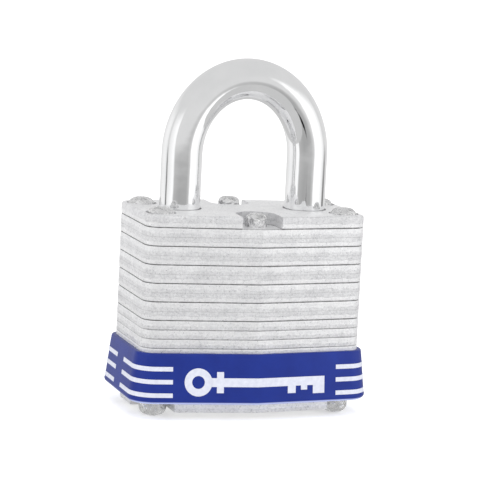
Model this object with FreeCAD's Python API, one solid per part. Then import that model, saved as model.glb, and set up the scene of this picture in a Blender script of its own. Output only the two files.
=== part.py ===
import FreeCAD, Part
import os
from math import atan, atan2, cos, degrees, pi, sin, sqrt, tan

# A laminated padlock in millimetres. Z is up, X runs along the width and the front looks along -Y.
# The origin is under the middle of the body, on the plane of the flats of the lower rivet heads.
V = FreeCAD.Vector
UP = V(0, 0, 1)
CENTRE = V(0, 0, 0)

# Laminated body: a stack of punched plates with a six-sided plan, creased at the middle of each face.
body_width = 39.7
end_depth = 19.5            # front to back at the two ends, before the corners are rounded
ridge_depth = 24.2          # front to back across the two middle creases
corner_radius = 2.6
plate_thickness = 1.6
top_plate_thickness = 2.1
edge_roll = 0.3             # the rounded edge that punching leaves on one side of a plate
top_edge_round = 0.45
foot_height = 1.2           # how far the lower rivet heads stand out under the bottom plate

# What each run of plates holds, from the bottom plate up.
cylinder_plates = 11
tail_plates = 2
pocket_plates = 3
guide_plates = 2
paired_from = 11            # from this plate up, plates lie in pairs with their rolled edges outwards

# Rivets and pivot pins. The upper heads sit in recesses, the feet and the pivot heads in notches.
rivet_shank_radius = 1.7
rivet_head_radius = 2.4
recess_gap = 0.25           # round a head in its recess in the top plate
recess_rim = 0.55           # metal left between a recess and the end of the body
recess_depth = 1.1
rivet_edge_y = 3.55         # from the end depth's corner to the rivet's axis
head_rise = 1.0             # how far the upper heads stand above the top plate
head_shoulder = 0.5         # straight part of an upper head
head_flat = 0.9             # radius of the flat that the hammer leaves
pivot_head_crown = 1.0
foot_flat = 0.9
pivot_shank_radius = 1.5
pivot_head_radius = 1.9
pivot_inset = 4.2           # from the crease to the pivot's axis
notch_gap = 0.35            # from a foot to the notch's wall
pivot_notch_gap = 1.7
rivet_clearance = 0.03

# Vinyl bumper band round the lower body.
bumper_low = 1.7            # above the underside of the bottom plate
bumper_height = 8.7
bumper_proud_low = 1.9
bumper_proud_top = 0.8
bumper_round_low = 0.8
bumper_round_top = 0.3
bumper_clearance = 0.03

# Shackle.
shackle_diameter = 7.14
shackle_inner_width = 15.9
shackle_straight = 9.4      # straight leg above the top plate
shackle_arch = 13.3         # height of the arch, on the bar's axis
leg_clearance = 0.3
toe_clearance = 0.1
toe_lift = 0.6              # how far the raised toe clears the top plate
toe_chamfer = 1.0
heel_neck_depth = 0.8
heel_chamfer = 0.5
head_clearance = 1.1        # from the raised heel's end to the pocket under it
notch_depth = 2.1

# Locking levers, between the two legs.
nose_half_width = 1.5
nose_reach = 2.0            # how far a locked nose enters the leg's notch
nose_length = 3.75
lever_eye_radius = 2.4
seat_half_width = 0.9
lever_clearance = 0.05
finger_width = 1.6
finger_thickness = 1.6
finger_lap = 0.35           # how far the finger reaches past the peg's axis
notch_gap_z = 0.12          # above and below a nose in its notch
pocket_margin = 0.9
peg_radius = 0.7
peg_circle = 1.37
peg_clearance = 0.05
fit_clearance = 0.05

# Pin-tumbler cylinder.
plug_radius = 5.0
shell_wall = 1.25
shell_clearance = 0.05
plug_face_radius = 4.2
plug_face_clearance = 0.25
plug_face_recess = 0.5      # from the underside of the bottom plate up to the plug's face
plug_end_gap = 0.6          # from the plug's rear end to the plate above
keyway_width = 2.2
keyway_depth = 7.0
keyway_rib = 0.6
pin_count = 4
pin_radius = 1.45
pin_clearance = 0.05
pin_end_wall = 1.2
pin_rear_wall = 0.2
key_pin_tips = (0.4, 1.1, -0.1, 0.8)
driver_length = 3.6
tower_half_width = 2.4
tower_reach = 9.5           # from the plug's surface to the end of the pin tower
cover_thickness = 0.8
cover_half_width = 1.9
tail_radius = 2.8
tail_clearance = 0.1
tongue_depth = 1.3
tongue_width = 1.8
clip_thickness = 0.5
clip_depth = 0.6
clip_outside = 0.6

# Springs.
shackle_spring_wire = 0.6
shackle_spring_radius = 2.7
lever_spring_wire = 0.35
lever_spring_radius = 1.05
lever_spring_seat_gap = 0.45
pin_spring_wire = 0.22
pin_spring_radius = 1.05
spring_clearance = 0.1

# Sizes that follow from the ones above.
first_tail_plate = 2 + cylinder_plates
first_pocket_plate = first_tail_plate + tail_plates
first_guide_plate = first_pocket_plate + pocket_plates
retaining_plate = first_guide_plate + guide_plates
top_plate = retaining_plate + 1


def level(plate):
    """Height of the underside of a plate, counted from the bottom plate, which is 1."""
    return foot_height + (plate - 1) * plate_thickness


body_top = level(top_plate) + top_plate_thickness
pocket_low = level(first_pocket_plate)
pocket_top = level(first_guide_plate)
nose_low = pocket_low + finger_thickness
shackle_radius = shackle_diameter / 2
leg_x = shackle_inner_width / 2 + shackle_radius
leg_hole_radius = shackle_radius + leg_clearance
toe_end = level(first_tail_plate + 1) + toe_clearance
shackle_travel = body_top - toe_end + toe_lift
heel_head_top = level(retaining_plate) - shackle_travel - toe_clearance
heel_end = heel_head_top - (guide_plates * plate_thickness - head_clearance)
heel_neck_top = level(top_plate) - shackle_travel + toe_clearance
rivet_x = body_width / 2 - recess_rim - recess_gap - rivet_head_radius
rivet_y = end_depth / 2 - rivet_edge_y
pivot_y = ridge_depth / 2 - pivot_inset
lean = atan2(ridge_depth - end_depth, body_width)
peg_offset = peg_circle / sqrt(2)
lever_swing = degrees(2 * atan(peg_offset / (pivot_y - peg_offset)))
shell_low = level(2)
shell_top = level(first_tail_plate)
shell_radius = plug_radius + fit_clearance + shell_wall
plug_low = shell_low + fit_clearance
plug_top = shell_top - plug_end_gap
chamber_radius = pin_radius + pin_clearance
first_pin = shell_low + pin_end_wall + chamber_radius
last_pin = plug_top - tongue_depth - pin_rear_wall - chamber_radius
tower_end = plug_radius + tower_reach


def disc(radius, low, top, x=0, y=0):
    return Part.makeCylinder(radius, top - low, V(x, y, low))


def block(x_low, x_top, y_low, y_top, low, top):
    return Part.makeBox(x_top - x_low, y_top - y_low, top - low, V(x_low, y_low, low))


def bar_along_x(radius, x_low, x_top, z):
    return Part.makeCylinder(radius, x_top - x_low, V(x_low, 0, z), V(1, 0, 0))


def prism(points, low, top):
    corners = [V(x, y, low) for x, y in points]
    return Part.Face(Part.makePolygon(corners + corners[:1])).extrude(V(0, 0, top - low))


def outline(grow, z):
    """The body's plan with rounded corners, grown outwards by grow."""
    radius = corner_radius + grow
    crease = ridge_depth / 2 + grow / cos(lean)
    centre_x = body_width / 2 - corner_radius
    centre_y = crease - centre_x * tan(lean) - radius / cos(lean)

    def on_corner(sx, sy, turn):
        return V(sx * (centre_x + radius * sin(turn)), sy * (centre_y + radius * cos(turn)), z)

    edges = []
    for sx in (1, -1):
        for sy in (1, -1):
            start, middle, end = (on_corner(sx, sy, t) for t in (lean, (lean + pi / 2) / 2, pi / 2))
            edges.append(Part.LineSegment(V(0, sy * crease, z), start).toShape())
            edges.append(Part.Arc(start, middle, end).toShape())
        side = [on_corner(sx, sy, pi / 2) for sy in (1, -1)]
        edges.append(Part.LineSegment(*side).toShape())
    return Part.Wire(Part.__sortEdges__(edges))


def edges_at(solid, z):
    return [e for e in solid.Edges if all(abs(v.Z - z) < 1e-6 for v in e.Vertexes)]


def blank(plate):
    """A punched plate before its holes, with its rolled edge facing the way that it was stacked."""
    low = level(plate)
    thick = top_plate_thickness if plate == top_plate else plate_thickness
    solid = Part.Face(outline(0, low)).extrude(V(0, 0, thick))
    if plate == top_plate:
        solid = solid.makeFillet(edge_roll, edges_at(solid, low))
        return solid.makeFillet(top_edge_round, edges_at(solid, low + thick))
    rolled_low = plate >= paired_from and (plate - paired_from) % 2 == 0
    return solid.makeFillet(edge_roll, edges_at(solid, low if rolled_low else low + thick))


def corner_notches(low, top):
    """What the bottom plate lacks at its corners, so that the rivet feet sit on the next plate."""
    cuts = []
    wall = rivet_head_radius + notch_gap
    for sx in (1, -1):
        for sy in (1, -1):
            inner_x, inner_y = sx * (rivet_x - wall), sy * (rivet_y - wall)
            x_span = sorted((inner_x, sx * body_width))
            y_span = sorted((inner_y, sy * ridge_depth))
            corner = block(*x_span, *y_span, low - 1, top + 1)
            upright = [e for e in corner.Edges if all(abs(v.X - inner_x) + abs(v.Y - inner_y) < 1e-6
                                                      for v in e.Vertexes)]
            cuts.append(corner.makeFillet(wall, upright))
    return cuts


def pivot_notches(low, top):
    """The round-bottomed notches of the top plate that the pivot heads sit in."""
    radius = pivot_head_radius + pivot_notch_gap
    cuts = []
    for sy in (1, -1):
        slot = block(-radius, radius, *sorted((sy * pivot_y, sy * ridge_depth)), low - 1, top + 1)
        cuts.append(disc(radius, low - 1, top + 1, 0, sy * pivot_y).fuse(slot))
    return cuts


def lever_pocket(low, top):
    half_x = leg_x - shackle_radius + nose_reach - notch_depth + 1.0
    half_y = pivot_y
    pocket = block(-half_x, half_x, -half_y, half_y, low, top)
    upright = [e for e in pocket.Edges if abs(e.Vertexes[0].Z - e.Vertexes[1].Z) > 1e-6]
    pocket = pocket.makeFillet(lever_eye_radius, upright)
    for sy in (1, -1):
        pocket = pocket.fuse(disc(lever_eye_radius + pocket_margin, low, top, 0, sy * pivot_y))
    return pocket


def retaining_hole(low, top):
    """The heel's hole in the retaining plate: flat on the outside, so the heel's head can't pass."""
    hole = disc(leg_hole_radius, low, top, -leg_x)
    flat_x = -leg_x - shackle_radius + heel_neck_depth - leg_clearance / 2
    return hole.cut(block(flat_x - leg_hole_radius, flat_x, -leg_hole_radius, leg_hole_radius, low, top))


def cylinder_cavity(low, top):
    radius = shell_radius + shell_clearance
    tower = block(0, tower_end + shell_clearance, -tower_half_width - shell_clearance,
                  tower_half_width + shell_clearance, low, top)
    return disc(radius, low, top).fuse(tower)


def plate_holes(plate, low, top):
    """Everything cut through one plate, by where it lies in the stack."""
    cuts = []
    last_cylinder_plate = first_tail_plate - 1
    if plate == 1:
        cuts += corner_notches(low, top)
    else:
        for sx in (1, -1):
            for sy in (1, -1):
                cuts.append(disc(rivet_shank_radius + rivet_clearance, low, top, sx * rivet_x, sy * rivet_y))
                if plate == top_plate:
                    cuts.append(disc(rivet_head_radius + recess_gap, body_top - recess_depth, top,
                                     sx * rivet_x, sy * rivet_y))
    if plate == 1:
        cuts.append(disc(plug_face_radius + plug_face_clearance, low, top))
    if 2 <= plate <= last_cylinder_plate:
        cuts.append(cylinder_cavity(low, top))
    if first_tail_plate <= plate < first_pocket_plate:
        cuts.append(disc(tail_radius + tail_clearance, low, top))
    if 3 <= plate and plate != retaining_plate:
        cuts.append(disc(leg_hole_radius, low, top, -leg_x))
    if plate > first_tail_plate:
        cuts.append(disc(leg_hole_radius, low, top, leg_x))
    if first_pocket_plate <= plate < first_guide_plate:
        cuts.append(lever_pocket(low, top))
    elif first_tail_plate < plate < top_plate:
        for sy in (1, -1):
            cuts.append(disc(pivot_shank_radius + rivet_clearance, low, top, 0, sy * pivot_y))
    if plate == retaining_plate:
        cuts.append(retaining_hole(low, top))
    if plate == top_plate:
        cuts += pivot_notches(low, top)
    return cuts


def plate_node(plate):
    solid = blank(plate)
    box = solid.BoundBox
    for cut in plate_holes(plate, box.ZMin - 0.5, box.ZMax + 0.5):
        solid = solid.cut(cut)
    return solid


def head(radius, seat, apex, shoulder, flat, x, y):
    """A domed rivet head from its seat to its apex, above or below; shoulder is its straight height."""
    sign = 1 if apex > seat else -1
    edge = seat + sign * shoulder
    side = V(radius, 0, edge)
    top = V(flat, 0, apex)
    middle = V(flat + (radius - flat) * cos(pi / 4), 0, edge + (apex - edge) * sin(pi / 4))
    profile = [Part.LineSegment(V(0, 0, seat), V(radius, 0, seat)).toShape(),
               Part.LineSegment(V(radius, 0, seat), side).toShape(),
               Part.Arc(side, middle, top).toShape(),
               Part.LineSegment(top, V(0, 0, apex)).toShape(),
               Part.LineSegment(V(0, 0, apex), V(0, 0, seat)).toShape()]
    solid = Part.Face(Part.Wire(profile)).revolve(CENTRE, UP, 360)
    solid.translate(V(x, y, 0))
    return solid


def corner_rivet(sx, sy):
    x, y = sx * rivet_x, sy * rivet_y
    seat = body_top - recess_depth
    shank = disc(rivet_shank_radius, level(2), seat, x, y)
    foot = head(rivet_head_radius, level(2), 0, plate_thickness - 0.2, foot_flat, x, y)
    cap = head(rivet_head_radius, seat, body_top + head_rise, head_shoulder, head_flat, x, y)
    return shank.fuse([foot, cap]).removeSplitter()


def pivot_pin(sy, apex):
    low = level(first_tail_plate + 1)
    shank = disc(pivot_shank_radius, low, level(top_plate), 0, sy * pivot_y)
    cap = head(pivot_head_radius, level(top_plate), apex, apex - level(top_plate) - pivot_head_crown, head_flat,
               0, sy * pivot_y)
    return shank.fuse(cap).removeSplitter()


def bumper_node():
    low = foot_height + bumper_low
    top = low + bumper_height
    band = Part.makeLoft([outline(bumper_proud_low, low), outline(bumper_proud_top, top)], True, True)
    band = band.makeFillet(bumper_round_low, edges_at(band, low))
    band = band.makeFillet(bumper_round_top, edges_at(band, top))
    body = Part.Face(outline(bumper_clearance, low - 1)).extrude(V(0, 0, bumper_height + 2))
    return band.cut(body)


def shackle_path():
    """The bar's axis: the long heel leg, a stretched half circle and the short toe leg."""
    spring_line = body_top + shackle_straight
    half_ring = Part.Arc(V(-leg_x, 0, 0), V(0, 0, leg_x), V(leg_x, 0, 0)).toShape()
    stretch = FreeCAD.Matrix()
    stretch.scale(1, 1, shackle_arch / leg_x)
    arch = half_ring.transformGeometry(stretch)
    arch.translate(V(0, 0, spring_line))
    heel = Part.LineSegment(V(-leg_x, 0, heel_end), V(-leg_x, 0, spring_line)).toShape()
    toe = Part.LineSegment(V(leg_x, 0, spring_line), V(leg_x, 0, toe_end)).toShape()
    return Part.Wire([heel, arch, toe])


def shackle_node():
    ring = Part.Wire(Part.Circle(V(-leg_x, 0, heel_end), UP, shackle_radius).toShape())
    bar = shackle_path().makePipeShell([ring], True, False)
    bar = bar.makeChamfer(toe_chamfer, edges_at(bar, toe_end))
    bar = bar.makeChamfer(heel_chamfer, edges_at(bar, heel_end))
    wide = shackle_diameter
    for side in (-1, 1):
        inner = sorted((side * (leg_x - shackle_radius + notch_depth), 0))
        bar = bar.cut(block(*inner, -wide, wide, nose_low - notch_gap_z, pocket_top + notch_gap_z))
    sleeve = disc(wide, heel_head_top, heel_neck_top, -leg_x)
    sleeve = sleeve.cut(disc(shackle_radius - heel_neck_depth, heel_head_top, heel_neck_top, -leg_x))
    outer = -leg_x - shackle_radius
    flat = block(outer - 1, outer + heel_neck_depth, -wide, wide, heel_neck_top, level(top_plate) + toe_clearance)
    return bar.cut([sleeve, flat])


def lever_node(turned):
    """A locking lever at rest, unlocked. The first bears on the heel; turned gives its twin for the toe."""
    low = pocket_low + lever_clearance
    top = pocket_top - lever_clearance
    pivot = V(0, -pivot_y, 0)
    tip = -(leg_x - shackle_radius) - nose_reach
    root = tip + nose_length
    eye = lever_eye_radius
    arm = prism([(tip, -nose_half_width), (tip + nose_reach, -nose_half_width),
                 (-0.8 * eye, -pivot_y - 0.6 * eye), (0.6 * eye, -pivot_y + 0.8 * eye),
                 (root, -seat_half_width), (root, nose_half_width), (tip, nose_half_width)], nose_low, top)
    arm.rotate(pivot, UP, -lever_swing)
    face = peg_offset + peg_radius + peg_clearance
    back = face + finger_width
    reach = -peg_offset + finger_lap
    finger = prism([(face, reach), (face, -2 * peg_circle), (-0.5 * eye, -pivot_y + 0.8 * eye),
                    (0.9 * eye, -pivot_y), (back, -2.5 * peg_circle), (back, reach)], low, nose_low)
    hub = disc(eye, low, top, 0, -pivot_y)
    lever = arm.fuse([finger, hub]).cut(disc(pivot_shank_radius + fit_clearance, low, top, 0, -pivot_y))
    lever = lever.removeSplitter()
    if turned:
        lever.rotate(CENTRE, UP, 180)
    return lever


def spring_sleeve(wire, radius, start, end):
    """The space that a coil spring's wire winds through: a thin tube from start to end."""
    along = end - start
    outside = Part.makeCylinder(radius + wire / 2, along.Length, start, along)
    return outside.cut(Part.makeCylinder(radius - wire / 2, along.Length, start, along))


def shackle_spring_node():
    start = V(-leg_x, 0, level(3) + spring_clearance)
    end = V(-leg_x, 0, heel_end - spring_clearance)
    return spring_sleeve(shackle_spring_wire, shackle_spring_radius, start, end)


def lever_spring_node():
    """The spring that pushes the two noses apart, in its shortest, unlocked state."""
    root = leg_x - shackle_radius + nose_reach - nose_length
    seat = V(-root, (nose_half_width - seat_half_width) / 2, (nose_low + pocket_top) / 2)
    turn = FreeCAD.Rotation(UP, -lever_swing)
    pivot = V(0, -pivot_y, 0)
    seat = pivot + turn.multVec(seat - pivot)
    mirrored = V(-seat.x, -seat.y, seat.z)
    inwards = (mirrored - seat).normalize() * lever_spring_seat_gap
    return spring_sleeve(lever_spring_wire, lever_spring_radius, seat + inwards, mirrored - inwards)


def pin_height(i):
    return first_pin + i * (last_pin - first_pin) / (pin_count - 1)


def cylinder_shell_node():
    body = disc(shell_radius, shell_low, shell_top)
    tower = block(0, tower_end, -tower_half_width, tower_half_width, shell_low, shell_top)
    shell = body.fuse(tower).removeSplitter()
    shell = shell.cut(disc(plug_radius + fit_clearance, shell_low - 1, shell_top + 1))
    clip_seat = clip_low() - 0.1
    shell = shell.cut(disc(plug_radius + clip_outside + 0.2, clip_seat, shell_top + 1))
    for i in range(pin_count):
        shell = shell.cut(bar_along_x(chamber_radius, 0, tower_end + 1, pin_height(i)))
    return shell.cut(cover_space(0.02))


def cover_space(gap):
    return block(tower_end - cover_thickness - gap, tower_end + gap, -cover_half_width - gap, cover_half_width + gap,
                 shell_low + 0.6 - gap, last_pin + chamber_radius + 0.6 + gap)


def clip_low():
    return plug_top - tongue_depth + 0.35


def plug_node():
    plug = disc(plug_radius, plug_low, plug_top)
    plug = plug.fuse(disc(plug_face_radius, foot_height + plug_face_recess, plug_low)).removeSplitter()
    half = keyway_width / 2
    low = foot_height
    top = last_pin + chamber_radius
    keyway = block(-keyway_depth / 2, keyway_depth / 2, -half, half, low, top)
    for sy, x in ((1, 0.6), (-1, -1.4)):
        rib = sorted((sy * half, sy * (half - keyway_rib)))
        keyway = keyway.cut(block(x - 0.6, x + 0.6, *rib, low, top))
    plug = plug.cut(keyway)
    for i in range(pin_count):
        plug = plug.cut(bar_along_x(chamber_radius, -0.4, plug_radius + 1, pin_height(i)))
    tongue = block(-tongue_width / 2, tongue_width / 2, -plug_radius - 1, plug_radius + 1,
                   plug_top - tongue_depth, plug_top + 1)
    plug = plug.cut(tongue)
    groove = disc(plug_radius + 1, clip_low() - 0.05, clip_low() + clip_thickness + 0.05)
    groove = groove.cut(disc(plug_radius - clip_depth, clip_low() - 1, clip_low() + 2))
    return turned_open(plug.cut(groove))


def turned_open(shape):
    """The plug's pieces are drawn in their locked place and stored turned a quarter, unlocked."""
    shape.rotate(CENTRE, UP, 90)
    return shape


def drive_tail_node():
    gap = 0.02
    tongue = block(-tongue_width / 2 + gap, tongue_width / 2 - gap, -plug_radius + clip_depth + 0.1,
                   plug_radius - clip_depth - 0.1, plug_top - tongue_depth, plug_top)
    shaft = disc(tail_radius, plug_top, pocket_low)
    pegs = []
    for side in (1, -1):
        pegs.append(disc(peg_radius, pocket_low, nose_low - lever_clearance,
                         side * peg_offset, side * peg_offset))
    return turned_open(shaft.fuse([tongue] + pegs).removeSplitter())


def plug_clip_node():
    low = clip_low()
    ring = disc(plug_radius + clip_outside, low, low + clip_thickness)
    ring = ring.cut(disc(plug_radius - clip_depth + 0.02, low - 1, low + 1))
    return turned_open(ring.cut(block(-plug_radius - 2, 0, -2.2, 2.2, low - 1, low + 1)))


def key_pin_node(i):
    z = pin_height(i)
    tip = key_pin_tips[i]
    cone_length = 0.9
    cone = Part.makeCone(0.35, pin_radius, cone_length, V(tip, 0, z), V(1, 0, 0))
    pin = cone.fuse(bar_along_x(pin_radius, tip + cone_length, plug_radius + 1, z))
    return turned_open(pin.common(disc(plug_radius - 0.02, z - 3, z + 3)).removeSplitter())


def driver_pin_node(i):
    start = plug_radius + fit_clearance
    pin = bar_along_x(pin_radius, start, start + driver_length, pin_height(i))
    return pin.makeChamfer(0.25, [e for e in pin.Edges if len(e.Vertexes) == 1])


def chamber_spring_node(i):
    start = plug_radius + fit_clearance + driver_length + spring_clearance
    end = tower_end - cover_thickness - spring_clearance
    z = pin_height(i)
    return spring_sleeve(pin_spring_wire, pin_spring_radius, V(start, 0, z), V(end, 0, z))


def all_nodes():
    nodes = {"bottom_plate": plate_node(1), "top_plate": plate_node(top_plate)}
    for plate in range(2, top_plate):
        nodes["plate_%02d" % plate] = plate_node(plate)
    for side, sx in (("left", -1), ("right", 1)):
        for place, sy in (("front", -1), ("rear", 1)):
            nodes["%s_%s_rivet" % (place, side)] = corner_rivet(sx, sy)
    nodes["front_pivot_pin"] = pivot_pin(-1, body_top + 0.1)
    nodes["rear_pivot_pin"] = pivot_pin(1, body_top + head_rise)
    nodes["bumper"] = bumper_node()
    nodes["shackle"] = shackle_node()
    nodes["shackle_spring"] = shackle_spring_node()
    nodes["left_lever"] = lever_node(False)
    nodes["right_lever"] = lever_node(True)
    nodes["lever_spring"] = lever_spring_node()
    nodes["cylinder_shell"] = cylinder_shell_node()
    nodes["chamber_cover"] = cover_space(0)
    nodes["plug"] = plug_node()
    nodes["drive_tail"] = drive_tail_node()
    nodes["plug_clip"] = plug_clip_node()
    for i in range(pin_count):
        nodes["key_pin_%d" % (i + 1)] = key_pin_node(i)
        nodes["driver_pin_%d" % (i + 1)] = driver_pin_node(i)
        nodes["chamber_spring_%d" % (i + 1)] = chamber_spring_node(i)
    return nodes


os.makedirs("parts", exist_ok=True)
for name, shape in all_nodes().items():
    if not shape.isValid() or shape.Volume <= 0:
        print("not a sound solid:", name)
    shape.exportStep("parts/%s.step" % name)
print("levers swing %.2f degrees, shackle rises %.2f mm" % (lever_swing, shackle_travel))
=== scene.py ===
import bpy, bmesh
from math import atan2, cos, pi, radians, sin, tan
from mathutils import Matrix, Vector


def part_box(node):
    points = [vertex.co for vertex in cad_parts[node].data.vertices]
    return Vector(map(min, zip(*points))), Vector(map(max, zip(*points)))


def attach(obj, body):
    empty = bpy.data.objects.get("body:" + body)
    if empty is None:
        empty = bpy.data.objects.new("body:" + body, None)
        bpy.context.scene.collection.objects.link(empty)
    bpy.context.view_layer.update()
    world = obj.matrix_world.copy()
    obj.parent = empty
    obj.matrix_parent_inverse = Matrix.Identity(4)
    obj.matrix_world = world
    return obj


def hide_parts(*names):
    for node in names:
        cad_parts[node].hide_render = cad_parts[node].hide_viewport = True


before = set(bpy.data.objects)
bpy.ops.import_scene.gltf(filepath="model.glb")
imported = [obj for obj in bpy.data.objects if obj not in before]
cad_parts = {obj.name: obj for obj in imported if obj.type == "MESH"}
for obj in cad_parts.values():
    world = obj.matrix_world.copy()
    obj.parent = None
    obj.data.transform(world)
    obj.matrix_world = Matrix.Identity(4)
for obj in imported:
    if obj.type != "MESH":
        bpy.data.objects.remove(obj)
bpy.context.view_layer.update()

MM = 0.001

# The view: a long lens a little above the lock and a little to its left, with the lock leaning back
# by a few degrees, on a pale table under soft white studio light.
view_turn = radians(-18.28)
view_rise = radians(8.17)
view_roll = radians(2.82)
view_distance = 418 * MM
view_target = Vector((-0.15, 0, 29.6)) * MM
lens_length = 178.3     # mm, on a sensor 36 mm wide
sensor_width = 36

towards_camera = Vector((sin(view_turn) * cos(view_rise), -cos(view_turn) * cos(view_rise), sin(view_rise)))
level_right = Vector((cos(view_turn), sin(view_turn), 0))
level_up = towards_camera.cross(level_right)
camera_right = level_right * cos(view_roll) + level_up * sin(view_roll)
camera_up = level_up * cos(view_roll) - level_right * sin(view_roll)
camera = bpy.data.objects.new("camera", bpy.data.cameras.new("camera"))
bpy.context.scene.collection.objects.link(camera)
camera.data.lens = lens_length
camera.data.sensor_width = sensor_width
camera.data.clip_start = 0.01
pose = Matrix((camera_right, camera_up, towards_camera)).transposed().to_4x4()
pose.translation = view_target + towards_camera * view_distance
camera.matrix_world = pose
bpy.context.scene.camera = camera
bpy.context.scene.view_settings.view_transform = "Standard"

# The studio is a white tent, lit evenly all round, with three soft boxes.
world = bpy.data.worlds.new("studio")
bpy.context.scene.world = world
world.use_nodes = True
tent = world.node_tree.nodes["Background"]
tent.inputs["Color"].default_value = (1, 1, 1, 1)
tent.inputs["Strength"].default_value = 1.08


def soft_box(name, place, aim, width, height, power):
    """A soft box in metres and watts, turned so that it faces the point aim."""
    lamp = bpy.data.objects.new(name, bpy.data.lights.new(name, "AREA"))
    bpy.context.scene.collection.objects.link(lamp)
    lamp.data.shape = "RECTANGLE"
    lamp.data.size = width
    lamp.data.size_y = height
    lamp.data.energy = power
    lamp.location = place
    lamp.rotation_euler = (Vector(place) - Vector(aim)).to_track_quat("Z", "Y").to_euler()


soft_box("left_box", place=(-0.38, -0.28, 0.30), aim=(0, 0, 0.03), width=0.30, height=0.40, power=0.20)
soft_box("right_box", place=(0.42, -0.18, 0.26), aim=(0, 0, 0.03), width=0.25, height=0.35, power=0.25)
soft_box("top_box", place=(0.0, -0.05, 0.5), aim=(0, 0, 0.02), width=0.4, height=0.4, power=0.35)


# The table is a broad sheet of white paper, lit a little from below.
def finished(name, bm, smooth_below=radians(40), merge_within=0.002 * MM):
    """A mesh object from bm with doubles merged, normals outwards, and its sharp edges kept sharp."""
    bmesh.ops.remove_doubles(bm, verts=bm.verts, dist=merge_within)
    bmesh.ops.recalc_face_normals(bm, faces=bm.faces)
    for face in bm.faces:
        face.smooth = True
    for edge in bm.edges:
        edge.smooth = len(edge.link_faces) == 2 and edge.calc_face_angle(0) < smooth_below
    mesh = bpy.data.meshes.new(name)
    bm.to_mesh(mesh)
    bm.free()
    piece = bpy.data.objects.new(name, mesh)
    bpy.context.scene.collection.objects.link(piece)
    return piece


def new_material(name, metallic, roughness=0.5):
    """A material and its shader; the roughness is overruled where a pattern is fed to its socket."""
    material = bpy.data.materials.new(name)
    material.use_nodes = True
    shader = material.node_tree.nodes["Principled BSDF"]
    shader.inputs["Metallic"].default_value = metallic
    shader.inputs["Roughness"].default_value = roughness
    return material, shader


table_half_width = 3.0      # metres
bm = bmesh.new()
bmesh.ops.create_grid(bm, x_segments=1, y_segments=1, size=table_half_width)
table = finished("table", bm)
paper, paper_shader = new_material("paper", 0.0, 0.8)
paper_shader.inputs["Base Color"].default_value = (0.93, 0.93, 0.93, 1)
paper_shader.inputs["Emission Color"].default_value = (1, 1, 1, 1)
paper_shader.inputs["Emission Strength"].default_value = 0.28
table.data.materials.append(paper)


# Round the lock stands a wall of cards that only reflections see: grey on the camera's side, where the
# lens and stand are, and nearly white elsewhere, with narrow dark cards that edge the chrome. It has a
# grey floor and a light grey ceiling.
def node(material, kind, **values):
    """A new node of that kind in the material, with its settings."""
    made = material.node_tree.nodes.new(kind)
    for name, value in values.items():
        setattr(made, name, value)
    return made


def feed(material, source, target):
    """The target socket gets another socket's value, a number or a colour."""
    if isinstance(source, bpy.types.NodeSocket):
        material.node_tree.links.new(source, target)
    elif isinstance(source, tuple):
        target.default_value = (*source, 1)
    else:
        target.default_value = source


def arithmetic(material, operation, *values):
    """The result of one sum on values that are sockets or numbers."""
    made = node(material, "ShaderNodeMath", operation=operation)
    for value, socket in zip(values, made.inputs):
        feed(material, value, socket)
    return made.outputs["Value"]


def soft_step(material, value, start, end):
    """Nought below start, one above end, or the other way round where start is above end."""
    made = node(material, "ShaderNodeMapRange", interpolation_type="SMOOTHSTEP")
    feed(material, value, made.inputs["Value"])
    feed(material, start, made.inputs["From Min"])
    feed(material, end, made.inputs["From Max"])
    return made.outputs["Result"]


def blend(material, factor, first, second, how="MIX"):
    """The first colour where the factor is nought, the second where it is one."""
    made = node(material, "ShaderNodeMix", data_type="RGBA", blend_type=how)
    first_colour, second_colour, result = made.inputs[6], made.inputs[7], made.outputs[2]
    feed(material, factor, made.inputs["Factor"])
    feed(material, first, first_colour)
    feed(material, second, second_colour)
    return result


def axes_of(material, vector):
    """The X, Y and Z of a vector, as three sockets."""
    made = node(material, "ShaderNodeSeparateXYZ")
    feed(material, vector, made.inputs["Vector"])
    return made.outputs


def grey(light):
    return light, light, light


wall_radius = 120 * MM
wall_height = 150 * MM
wall_low = 0.3 * MM
wall_sides = 96
# (bearing from the camera's side in degrees, brightness)
CARDS = ((-180, 0.75), (-140, 0.85), (-110, 1.0), (-90, 0.95), (-87, 0.2), (-81, 0.2), (-78, 0.9),
         (-46, 1.15), (-38, 0.5), (-10, 0.42), (30, 0.44), (42, 0.6), (52, 1.3), (80, 1.2), (104, 0.92),
         (110, 0.25), (122, 0.25), (128, 0.8), (180, 0.75))
# a low black card in front of the lock, from one bearing to the other and up to a height
STREAK = (8, 19)
streak_edge = 2
streak_top = 19 * MM
streak_fade = 4 * MM
streak_light = 0.01
# (height where it starts, height where it is full, brightness, how): the floor, which is full at the
# bottom, then the height where the dark cards give way, then the ceiling
LEVELS = ((1.5 * MM, 1 * MM, 0.62, "MIX"), (22 * MM, 50 * MM, 0.76, "LIGHTEN"),
          (75 * MM, 120 * MM, 0.74, "MIX"))
bm = bmesh.new()
bmesh.ops.create_cone(bm, cap_ends=True, segments=wall_sides, radius1=wall_radius, radius2=wall_radius,
                      depth=wall_height, matrix=Matrix.Translation((0, 0, wall_low + wall_height / 2)))
card_wall = finished("card_wall", bm)
card_wall.visible_camera = False
card_wall.visible_diffuse = False
card_wall.visible_shadow = False
cards = bpy.data.materials.new("cards")
cards.use_nodes = True
cards.node_tree.nodes.remove(cards.node_tree.nodes["Principled BSDF"])
glow = node(cards, "ShaderNodeEmission")
feed(cards, glow.outputs["Emission"], cards.node_tree.nodes["Material Output"].inputs["Surface"])
turned = node(cards, "ShaderNodeMapping")
turned.inputs["Rotation"].default_value = (0, 0, -view_turn)
feed(cards, node(cards, "ShaderNodeTexCoord").outputs["Object"], turned.inputs["Vector"])
across, away, height = axes_of(cards, turned.outputs["Vector"])


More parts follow.
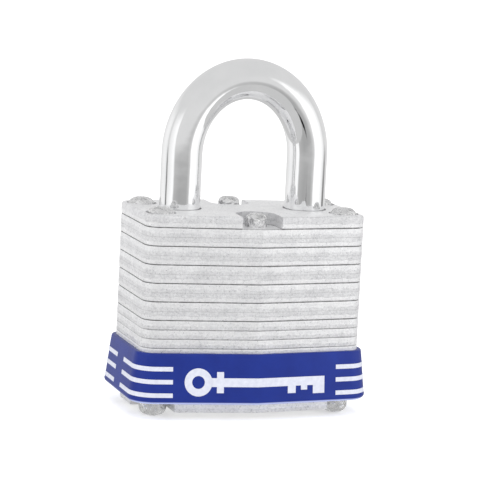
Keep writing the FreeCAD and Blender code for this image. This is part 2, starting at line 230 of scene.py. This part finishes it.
def share_of_turn(degrees):
    """A bearing as the bands' ramp holds it, from nought behind the lock to one behind it again."""
    return 0.5 + degrees / 360


bearing = arithmetic(cards, "ARCTAN2", across, arithmetic(cards, "MULTIPLY", away, -1))
bearing = arithmetic(cards, "MULTIPLY_ADD", bearing, 0.5 / pi, 0.5)
bands = node(cards, "ShaderNodeValToRGB")
feed(cards, bearing, bands.inputs["Fac"])
bands.color_ramp.elements[0].color = (*grey(CARDS[0][1]), 1)
bands.color_ramp.elements[-1].color = (*grey(CARDS[-1][1]), 1)
for degrees, light in CARDS[1:-1]:
    bands.color_ramp.elements.new(share_of_turn(degrees)).color = (*grey(light), 1)
left_edge = [share_of_turn(STREAK[0] + d) for d in (0, streak_edge)]
right_edge = [share_of_turn(STREAK[1] - d) for d in (0, streak_edge)]
streak = arithmetic(cards, "MULTIPLY", soft_step(cards, bearing, *left_edge),
                    soft_step(cards, bearing, *right_edge))
streak = arithmetic(cards, "MULTIPLY", streak, soft_step(cards, height, streak_top, streak_top - streak_fade))
light_seen = blend(cards, streak, bands.outputs["Color"], grey(streak_light))
for none_at, full_at, light, how in LEVELS:
    light_seen = blend(cards, soft_step(cards, height, none_at, full_at), light_seen, grey(light), how)
feed(cards, light_seen, glow.inputs["Color"])
card_wall.data.materials.append(cards)


# The body is a stack of plates punched from steel strip and zinc plated after riveting. The punch
# leaves upright drag marks on the cut edges, and the plating lies over them like fine frost.
def noise(material, grains_per_mm, stretch=(1, 1, 1), detail=4, roughness=0.55):
    """Noise with grains of about one over grains_per_mm, drawn out along an axis by a small stretch."""
    scale = node(material, "ShaderNodeMapping")
    scale.inputs["Scale"].default_value = [grains_per_mm / MM * s for s in stretch]
    feed(material, node(material, "ShaderNodeTexCoord").outputs["Object"], scale.inputs["Vector"])
    made = node(material, "ShaderNodeTexNoise")
    made.inputs["Scale"].default_value = 1
    made.inputs["Detail"].default_value = detail
    made.inputs["Roughness"].default_value = roughness
    feed(material, scale.outputs["Vector"], made.inputs["Vector"])
    return made.outputs["Fac"]


def spread(material, value, low, high, steep=0.5):
    """The value, centred on a half, spread from low to high; a smaller steep gives more contrast."""
    made = node(material, "ShaderNodeMapRange")
    made.inputs["From Min"].default_value = 0.5 - steep / 2
    made.inputs["From Max"].default_value = 0.5 + steep / 2
    made.inputs["To Min"].default_value = low
    made.inputs["To Max"].default_value = high
    feed(material, value, made.inputs["Value"])
    return made.outputs["Result"]


def bump(material, height, depth_mm, below=None):
    """A relief of the given depth, on top of the relief below."""
    made = node(material, "ShaderNodeBump")
    made.inputs["Distance"].default_value = depth_mm * MM
    made.inputs["Strength"].default_value = 1
    feed(material, height, made.inputs["Height"])
    if below:
        feed(material, below, made.inputs["Normal"])
    return made.outputs["Normal"]


def dress(material, *names):
    """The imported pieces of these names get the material."""
    for name in names:
        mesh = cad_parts[name].data
        mesh.materials.clear()
        mesh.materials.append(material)


zinc, zinc_shader = new_material("zinc_plate", 0.75)
cloud = noise(zinc, 0.35, detail=3)
frost = noise(zinc, 2.6, detail=6, roughness=0.8)
drag = noise(zinc, 3.0, stretch=(1, 1, 0.12), detail=3)
fleck = noise(zinc, 9.0, stretch=(1, 1, 1.6), detail=2)
mottle = arithmetic(zinc, "ADD", spread(zinc, cloud, 0.0, 0.45, 0.5), spread(zinc, frost, -0.1, 0.7, 0.3))

# The joints between plates hold a line of dirt, and the shadow in each joint is painted into that same dark
# line. Where two rolled edges meet it is wide.
plate_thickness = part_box("plate_05")[1].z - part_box("plate_05")[0].z
first_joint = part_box("bottom_plate")[0].z
# how dark each joint is, counted from the bottom plate's underside
JOINT_DEPTHS = (0, 0.5, 0.5, 0.5, 0.5, 0.5, 0.5, 0.62, 0.62, 0.66, 0.9, 0.22, 1, 0.2, 1, 0.22, 1, 0.2, 1,
                0.25, 0.95, 0)
# the ramp that holds them is this many joints long
ramp_joints = 32
# a face that lies this flat is a plate's top or underside, not its edge
flat_face = 0.998
height = axes_of(zinc, node(zinc, "ShaderNodeTexCoord").outputs["Object"])["Z"]
count = arithmetic(zinc, "MULTIPLY_ADD", height, 1 / plate_thickness, -first_joint / plate_thickness)
joint = arithmetic(zinc, "ROUND", count)
off_joint = arithmetic(zinc, "ABSOLUTE", arithmetic(zinc, "SUBTRACT", count, joint))
joint_depth = node(zinc, "ShaderNodeValToRGB")
joint_depth.color_ramp.interpolation = "CONSTANT"
joint_steps = joint_depth.color_ramp.elements
joint_steps[1].position = (len(JOINT_DEPTHS) - 1.5) / ramp_joints
joint_steps[1].color = (0, 0, 0, 1)
for number, depth in enumerate(JOINT_DEPTHS[1:-1], 1):
    joint_steps.new((number - 0.5) / ramp_joints).color = (*grey(depth), 1)
feed(zinc, arithmetic(zinc, "DIVIDE", joint, ramp_joints), joint_depth.inputs["Fac"])
facing_up = axes_of(zinc, node(zinc, "ShaderNodeNewGeometry").outputs["True Normal"])["Z"]
cut_edge = arithmetic(zinc, "LESS_THAN", arithmetic(zinc, "ABSOLUTE", facing_up), flat_face)
# how far a line reaches on each side of its joint, as a share of a plate's thickness
line_width = spread(zinc, noise(zinc, 1.2, detail=3), 0.04, 0.10, 0.5)
# the dark line at each joint: real dirt, with the joint's shadow painted in as painted shade
joint_dirt_and_painted_shade = arithmetic(zinc, "MULTIPLY", soft_step(zinc, off_joint, line_width, 0), joint_depth.outputs["Color"])
joint_dirt_and_painted_shade = arithmetic(zinc, "MULTIPLY", joint_dirt_and_painted_shade, cut_edge)

# Each cut edge is burnished next to its rolled side, and torn, rough and duller next to the other side.
# Above the tenth plate the plates lie in pairs, with their torn sides together.
first_pair = 10
paired = arithmetic(zinc, "PINGPONG", count, 1)
single = arithmetic(zinc, "SUBTRACT", 1, arithmetic(zinc, "FRACT", count))
in_pairs = arithmetic(zinc, "GREATER_THAN", count, first_pair)
torn_side = arithmetic(zinc, "MULTIPLY_ADD", in_pairs, arithmetic(zinc, "SUBTRACT", paired, single), single)
# the tearing begins at a wandering line about half way across the edge
wander = noise(zinc, 0.8, stretch=(1, 1, 0.3), detail=4)
torn = soft_step(zinc, arithmetic(zinc, "MULTIPLY_ADD", wander, 0.5, torn_side), 0.72, 0.88)
torn = arithmetic(zinc, "MULTIPLY", torn, cut_edge)
burnished_colour = blend(zinc, mottle, (0.76, 0.76, 0.775), (0.99, 0.99, 0.995))
torn_colour = blend(zinc, mottle, (0.62, 0.62, 0.635), (0.97, 0.97, 0.98))
plating = blend(zinc, torn, burnished_colour, torn_colour)
# the joint lines, dirt and painted shade together, darken the plating's colour to near black
feed(zinc, blend(zinc, joint_dirt_and_painted_shade, plating, grey(0.12)), zinc_shader.inputs["Base Color"])
feed(zinc, spread(zinc, frost, 0.22, 0.5, 0.4), zinc_shader.inputs["Roughness"])
tear = arithmetic(zinc, "MULTIPLY", torn, noise(zinc, 4.0, detail=5, roughness=0.7))
relief = bump(zinc, fleck, 0.03)
relief = bump(zinc, drag, 0.05, relief)
relief = bump(zinc, tear, 0.12, relief)
feed(zinc, bump(zinc, frost, 0.1, relief), zinc_shader.inputs["Normal"])
dress(zinc, "bottom_plate", "top_plate", *["plate_%02d" % number for number in range(2, 21)])

# Four rivets hold the stack together, and the levers turn on two pivot pins. All are steel, with
# their ends peened over by a hammering die.
peened, peened_shader = new_material("peened_steel", 1.0)
dent = noise(peened, 0.9, detail=2)
scuff = noise(peened, 4.0, detail=5)
feed(peened, blend(peened, spread(peened, dent, 0, 1, 0.5), (0.6, 0.6, 0.61), (0.98, 0.98, 0.98)),
     peened_shader.inputs["Base Color"])
feed(peened, spread(peened, scuff, 0.14, 0.36, 0.5), peened_shader.inputs["Roughness"])
feed(peened, bump(peened, scuff, 0.03, bump(peened, dent, 0.9)), peened_shader.inputs["Normal"])
rivets = ["%s_%s_rivet" % (place, side) for place in ("front", "rear") for side in ("left", "right")]
dress(peened, "front_pivot_pin", "rear_pivot_pin", *rivets)

# The cylinder is turned and milled from brass: the shell, the plug that the key turns, the pins in
# their chambers, and the strip that closes the chambers.
brass, brass_shader = new_material("machined_brass", 1.0)
turning = noise(brass, 2.0, stretch=(0.3, 0.3, 6), detail=3)
feed(brass, blend(brass, spread(brass, turning, 0, 1, 0.6), (0.62, 0.42, 0.16), (0.8, 0.6, 0.28)),
     brass_shader.inputs["Base Color"])
feed(brass, spread(brass, turning, 0.22, 0.42, 0.6), brass_shader.inputs["Roughness"])
feed(brass, bump(brass, turning, 0.01), brass_shader.inputs["Normal"])
tumblers = [kind % number for kind in ("key_pin_%d", "driver_pin_%d") for number in range(1, 5)]
dress(brass, "cylinder_shell", "chamber_cover", "plug", *tumblers)

# The levers, the tail that drives them and the plug's clip are stamped from steel sheet. They are
# left oily, without plating.
stamped, stamped_shader = new_material("oiled_steel", 1.0)
smear = noise(stamped, 0.6, detail=4)
feed(stamped, blend(stamped, spread(stamped, smear, 0, 1, 0.5), (0.34, 0.33, 0.32), (0.6, 0.59, 0.57)),
     stamped_shader.inputs["Base Color"])
feed(stamped, spread(stamped, smear, 0.24, 0.48, 0.5), stamped_shader.inputs["Roughness"])
dress(stamped, "left_lever", "right_lever", "drive_tail", "plug_clip")

# The bumper is a band of soft blue vinyl pulled round the bottom of the body. It is thicker at its
# lower edge, where it stands out most.
plan_half_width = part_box("plate_05")[1].x
plan_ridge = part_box("plate_05")[1].y
end_half_depth = 9.75 * MM
corner_round = 2.6 * MM
corner_steps = 14
lean = atan2(plan_ridge - end_half_depth, plan_half_width)
band_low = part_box("bumper")[0].z
band_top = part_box("bumper")[1].z
band_proud_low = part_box("bumper")[1].x - plan_half_width
band_proud_top = 0.8 * MM
band_skin = 0.03 * MM
band_round_low = 0.8 * MM
band_round_top = 0.3 * MM
band_levels = 8


def proud(z):
    """How far the band stands out from the body at a height."""
    return band_proud_low + (band_proud_top - band_proud_low) * (z - band_low) / (band_top - band_low)


def plan_ring(bm, grow, z):
    """One level loop of the body's plan, grown outwards, with its four corners rounded."""
    half = plan_half_width + grow
    ridge = plan_ridge + grow / cos(lean)
    shoulder = ridge - half * tan(lean)
    plan = ((half, -shoulder), (half, shoulder), (0, ridge),
            (-half, shoulder), (-half, -shoulder), (0, -ridge))
    points = [bm.verts.new((x, y, z)) for x, y in plan]
    bm.faces.new(points)
    corners = [v for v in points if abs(v.co.x) > half / 2]
    setback = (corner_round + grow) * tan((pi / 2 - lean) / 2)
    bmesh.ops.bevel(bm, geom=corners, offset=setback, offset_type="OFFSET", affect="VERTICES",
                    segments=corner_steps, profile=0.5, material=-1)
    face = next(f for f in bm.faces if all(abs(v.co.z - z) < 1e-9 for v in f.verts))
    loop = list(face.edges)
    bmesh.ops.delete(bm, geom=[face], context="FACES_ONLY")
    return loop


def rounded(grow, z, radius, up, steps=6):
    """Points of a quarter round that ends an edge at (grow, z), as pairs of grow and height."""
    turns = [pi / 2 * i / steps for i in range(steps + 1)]
    return [(grow - radius * (1 - cos(t)), z - up * radius * (1 - sin(t))) for t in turns]


bm = bmesh.new()
section = [(band_skin, band_top)]
section += reversed(rounded(band_proud_top, band_top, band_round_top, 1))
sides = [band_top - (band_top - band_low) * i / band_levels for i in range(1, band_levels)]
section += [(proud(z), z) for z in sides]
section += rounded(band_proud_low, band_low, band_round_low, -1)
section += [(band_skin, band_low)]
loops = [plan_ring(bm, grow, z) for grow, z in section]
for upper, lower in zip(loops, loops[1:] + loops[:1]):
    bmesh.ops.bridge_loops(bm, edges=upper + lower)
band = finished("bumper_band", bm)
vinyl, vinyl_shader = new_material("blue_vinyl", 0.0)
haze = noise(vinyl, 0.25, detail=3)
pores = noise(vinyl, 6.0, detail=3)
blue = blend(vinyl, spread(vinyl, haze, 0, 1, 0.6), (0.002, 0.016, 0.19), (0.004, 0.024, 0.24))
# its lower edge, which faces down, is painted pale: a painted reflection of the white table on the glossy
# rounded edge
facing_up = axes_of(vinyl, node(vinyl, "ShaderNodeNewGeometry").outputs["Normal"])["Z"]
blue_with_painted_reflection = blend(vinyl, soft_step(vinyl, facing_up, -0.35, -0.75), blue, (0.45, 0.5, 0.78))
feed(vinyl, blue_with_painted_reflection, vinyl_shader.inputs["Base Color"])
vinyl_shader.inputs["Specular IOR Level"].default_value = 0.3
feed(vinyl, spread(vinyl, pores, 0.3, 0.42, 0.6), vinyl_shader.inputs["Roughness"])
feed(vinyl, bump(vinyl, pores, 0.012), vinyl_shader.inputs["Normal"])
band.data.materials.append(vinyl)
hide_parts("bumper")
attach(band, "case")

# Pale silver stripes are printed round each corner of the band, three deep. The ink is a thin film
# that lies on the vinyl.
stripe_levels = [level * MM for level in (4.5, 6.8, 9.0)]
stripe_half = 0.38 * MM
stripe_end_x = 14.8 * MM
stripe_end_y = 2.0 * MM
print_gap = 0.01 * MM
print_thick = 0.04 * MM
bm = bmesh.new()
for level in stripe_levels:
    edges = []
    for z in (level - stripe_half, level + stripe_half):
        edges += plan_ring(bm, proud(z) + print_gap, z)
    bmesh.ops.bridge_loops(bm, edges=edges)
for side in (-1, 1):
    for place, cut_at in ((Vector((side * stripe_end_x, 0, 0)), Vector((1, 0, 0))),
                          (Vector((0, side * stripe_end_y, 0)), Vector((0, 1, 0)))):
        bmesh.ops.bisect_plane(bm, geom=bm.verts[:] + bm.edges[:] + bm.faces[:], plane_co=place,
                               plane_no=cut_at)
spare = [f for f in bm.faces if abs(f.calc_center_median().x) < stripe_end_x
         or abs(f.calc_center_median().y) < stripe_end_y]
bmesh.ops.delete(bm, geom=spare, context="FACES")
bmesh.ops.recalc_face_normals(bm, faces=bm.faces)
for face in bm.faces:
    outward = Vector((face.calc_center_median().x, face.calc_center_median().y, 0))
    if face.normal.dot(outward) < 0:
        face.normal_flip()
bmesh.ops.solidify(bm, geom=bm.faces[:], thickness=-print_thick)
stripes = finished("bumper_stripes", bm)
ink, ink_shader = new_material("silver_ink", 0.0, 0.45)
speck = noise(ink, 1.5, detail=4)
feed(ink, blend(ink, spread(ink, speck, 0, 1, 0.5), (0.56, 0.58, 0.68), (0.68, 0.7, 0.78)),
     ink_shader.inputs["Base Color"])
stripes.data.materials.append(ink)
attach(stripes, "case")

# In the middle of the band, front and back, a plain key is printed in the same silver. It has a round
# bow, a collar and three teeth.
key_level = 6.8 * MM
bow_centre = -10.4 * MM
bow_outside = 2.4 * MM
bow_inside = 1.1 * MM
bow_sides = 40
# (from, to, below, above) in mm, along and across the blade: the blade, the collar and the three teeth
KEY_BARS = ((-8.1, 12.6, 0.75, 0.75), (-7.2, -6.0, 1.8, -0.75), (-7.2, -6.0, -0.75, 1.8),
            (5.6, 7.1, 2.0, -0.75), (8.1, 9.3, 1.5, -0.75), (10.4, 12.6, 2.2, -0.75))
bm = bmesh.new()
spoke = [bm.verts.new((bow_centre + r, 0, key_level)) for r in (bow_inside, bow_outside)]
bm.edges.new(spoke)
bmesh.ops.spin(bm, geom=bm.verts[:] + bm.edges[:], cent=(bow_centre, 0, key_level), axis=(0, 1, 0),
               angle=2 * pi, steps=bow_sides, use_merge=True)
for start, end, below, above in KEY_BARS:
    corners = ((start, -below), (end, -below), (end, above), (start, above))
    bm.faces.new([bm.verts.new((x * MM, 0, key_level + z * MM)) for x, z in corners])
bmesh.ops.bisect_plane(bm, geom=bm.verts[:] + bm.edges[:] + bm.faces[:], plane_co=(0, 0, 0),
                       plane_no=(1, 0, 0))
bmesh.ops.recalc_face_normals(bm, faces=bm.faces)
for face in bm.faces:
    if face.normal.y > 0:
        face.normal_flip()
# the flat key is laid on the band's front, which falls back on both sides of the ridge
for v in bm.verts:
    v.co.y = abs(v.co.x) * tan(lean) - plan_ridge - (proud(v.co.z) + print_gap) / cos(lean)
bmesh.ops.solidify(bm, geom=bm.faces[:], thickness=-print_thick)
copied = bmesh.ops.duplicate(bm, geom=bm.verts[:] + bm.edges[:] + bm.faces[:])["geom"]
bmesh.ops.rotate(bm, verts=[v for v in copied if isinstance(v, bmesh.types.BMVert)], cent=(0, 0, 0),
                 matrix=Matrix.Rotation(pi, 3, "Z"))
key_print = finished("bumper_key_print", bm)
key_print.data.materials.append(ink)
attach(key_print, "case")

# The shackle is a hardened steel bar bent into an arch and chrome plated. Its long leg ends in a
# necked heel that keeps it in the body, and both legs have a notch for a lever's nose.
bar_low, bar_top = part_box("shackle")
bar_radius = (bar_top.y - bar_low.y) / 2
leg_x = bar_top.x - bar_radius
heel_end = bar_low.z
toe_end = 22.1 * MM
spring_line = 44.7 * MM
arch_rise = bar_top.z - bar_radius - spring_line
head_top = 17.7 * MM
neck_top = 19.5 * MM
neck_depth = 0.8 * MM
flat_top = 33.3 * MM
notch_low = 25.08 * MM
notch_top = 28.52 * MM
notch_depth = 2.1 * MM
heel_chamfer = 0.5 * MM
toe_chamfer = 1.0 * MM
chamfer_steps = 3
step_width = 0.02 * MM
bar_sides = 72
arch_steps = 72


def extrude_ring(bm, ring, move, turn=0.0):
    """The bar grows by one ring, moved on and turned about Y; ring is the list of its last vertices."""
    held = set(ring)
    edges = {e for v in ring for e in v.link_edges if e.other_vert(v) in held}
    fresh = bmesh.ops.extrude_edge_only(bm, edges=list(edges))["geom"]
    ring = [v for v in fresh if isinstance(v, bmesh.types.BMVert)]
    centre = sum((v.co for v in ring), Vector()) / len(ring)
    bmesh.ops.rotate(bm, verts=ring, cent=centre, matrix=Matrix.Rotation(turn, 3, "Y"))
    bmesh.ops.translate(bm, verts=ring, vec=move)
    return ring


def arch_point(t):
    """The middle of the bar at an angle of the arch, from nought at the heel's leg to pi at the toe's."""
    return Vector((-leg_x * cos(t), 0, spring_line + arch_rise * sin(t)))


def arch_turn(t):
    """How far the bar has turned from upright there."""
    return atan2(leg_x * sin(t), arch_rise * cos(t))


def level_cut(bm, z, side):
    """Cuts two loops round one leg close to a height, so that a step can be pressed in there."""
    for height in (z - step_width / 2, z + step_width / 2):
        faces = [f for f in bm.faces if side * f.calc_center_median().x > 0]
        geom = list({v for f in faces for v in f.verts}) + list({e for f in faces for e in f.edges}) + faces
        bmesh.ops.bisect_plane(bm, geom=geom, plane_co=(0, 0, height), plane_no=(0, 0, 1))


bm = bmesh.new()
heel_ring = bmesh.ops.create_circle(bm, segments=bar_sides, radius=bar_radius,
                                    matrix=Matrix.Translation((-leg_x, 0, heel_end)))["verts"]
ring = extrude_ring(bm, heel_ring, (0, 0, spring_line - heel_end))
for i in range(arch_steps):
    t, ahead = pi * i / arch_steps, pi * (i + 1) / arch_steps
    ring = extrude_ring(bm, ring, arch_point(ahead) - arch_point(t), arch_turn(ahead) - arch_turn(t))
toe_ring = extrude_ring(bm, ring, (0, 0, toe_end - spring_line))
for end_ring, chamfer in ((heel_ring, heel_chamfer), (toe_ring, toe_chamfer)):
    edges = [e for e in bm.edges if e.is_boundary and e.verts[0] in end_ring and e.verts[1] in end_ring]
    bmesh.ops.contextual_create(bm, geom=edges)
    bmesh.ops.bevel(bm, geom=edges, offset=chamfer, offset_type="OFFSET", affect="EDGES",
                    segments=chamfer_steps, profile=0.5, material=-1)
for z in (head_top, neck_top, flat_top):
    level_cut(bm, z, -1)
for z in (notch_low, notch_top):
    level_cut(bm, z, -1)
    level_cut(bm, z, 1)
for v in bm.verts:
    side = 1 if v.co.x > 0 else -1
    offset = Vector((v.co.x - side * leg_x, v.co.y, 0))
    if side < 0 and head_top < v.co.z < neck_top:
        offset *= (bar_radius - neck_depth) / offset.length
    if side < 0 and neck_top < v.co.z < flat_top:
        offset.x = max(offset.x, neck_depth - bar_radius)
    if notch_low < v.co.z < notch_top:
        wall = bar_radius - notch_depth
        offset.x = min(offset.x, wall) if side < 0 else max(offset.x, -wall)
    if v.co.z < spring_line:
        v.co.x, v.co.y = side * leg_x + offset.x, offset.y
shackle_bar = finished("shackle_bar", bm)
chrome, chrome_shader = new_material("chrome_plate", 1.0)
wave = noise(chrome, 0.22, detail=2)
wipe = noise(chrome, 2.5, stretch=(1, 1, 0.1), detail=3)
feed(chrome, blend(chrome, spread(chrome, wave, 0, 1, 0.6), (0.86, 0.865, 0.87), (0.93, 0.93, 0.935)),
     chrome_shader.inputs["Base Color"])
feed(chrome, spread(chrome, wipe, 0.04, 0.1, 0.5), chrome_shader.inputs["Roughness"])
feed(chrome, bump(chrome, wave, 0.05), chrome_shader.inputs["Normal"])
shackle_bar.data.materials.append(chrome)
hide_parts("shackle")
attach(shackle_bar, "shackle")


# The springs are wound from hard drawn wire. The large one lifts the shackle, one lies between the
# two levers, and four small ones press the pins.
steps_per_turn = 24
wire_sides = 10
wire_steel, wire_shader = new_material("drawn_wire", 1.0, 0.3)
draw_marks = noise(wire_steel, 3.0, detail=3)
wire_colour = blend(wire_steel, spread(wire_steel, draw_marks, 0, 1, 0.5), (0.3, 0.3, 0.31), (0.5, 0.5, 0.51))
feed(wire_steel, wire_colour, wire_shader.inputs["Base Color"])


def coil_spring(name, wire, turns, start, end, outside):
    """A spring of wire of that thickness, from start to end, within the outside radius."""
    along = end - start
    radius = outside - wire / 2
    steps = turns * steps_per_turn
    bm = bmesh.new()
    across_wire = Matrix.Translation((radius, 0, wire / 2)) @ Matrix.Rotation(pi / 2, 4, "X")
    loop = bmesh.ops.create_circle(bm, segments=wire_sides, radius=wire / 2, matrix=across_wire)
    bmesh.ops.spin(bm, geom=loop["verts"] + bm.edges[:], cent=(0, 0, 0), axis=(0, 0, 1), angle=2 * pi * turns,
                   steps=steps, dvec=(0, 0, (along.length - wire) / steps))
    bmesh.ops.holes_fill(bm, edges=[e for e in bm.edges if e.is_boundary])
    place = Matrix.Translation(start) @ along.to_track_quat("Z", "Y").to_matrix().to_4x4()
    bmesh.ops.transform(bm, matrix=place, verts=bm.verts)
    spring = finished(name + "_coil", bm)
    spring.data.materials.append(wire_steel)
    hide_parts(name)
    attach(spring, "case")


low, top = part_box("shackle_spring")
middle = (low + top) / 2
coil_spring("shackle_spring", wire=0.6 * MM, turns=8, start=Vector((middle.x, middle.y, low.z)),
            end=Vector((middle.x, middle.y, top.z)), outside=(top.x - low.x) / 2)
# The lever spring lies aslant, from corner to corner of its box. Its slant and its ends depend on each
# other, so each round brings the slant closer, until the coils' rims just stay inside the box.
low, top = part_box("lever_spring")
middle = (low + top) / 2
half_x, half_y = (top.x - low.x) / 2, (top.y - low.y) / 2
outside = 1.22 * MM
slant_rounds = 8
slant = atan2(half_y, half_x)
for closer in range(slant_rounds):
    slant = atan2(half_y - outside * cos(slant), half_x - outside * sin(slant))
half_length = (half_x - outside * sin(slant)) / cos(slant)
reach = Vector((half_length * cos(slant), -half_length * sin(slant), 0))
coil_spring("lever_spring", wire=0.35 * MM, turns=7, start=middle - reach, end=middle + reach,
            outside=outside)
for i in range(1, 5):
    low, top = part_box("chamber_spring_%d" % i)
    middle = (low + top) / 2
    coil_spring("chamber_spring_%d" % i, wire=0.22 * MM, turns=7, start=Vector((low.x, middle.y, middle.z)),
                end=Vector((top.x, middle.y, middle.z)), outside=(top.z - low.z) / 2)
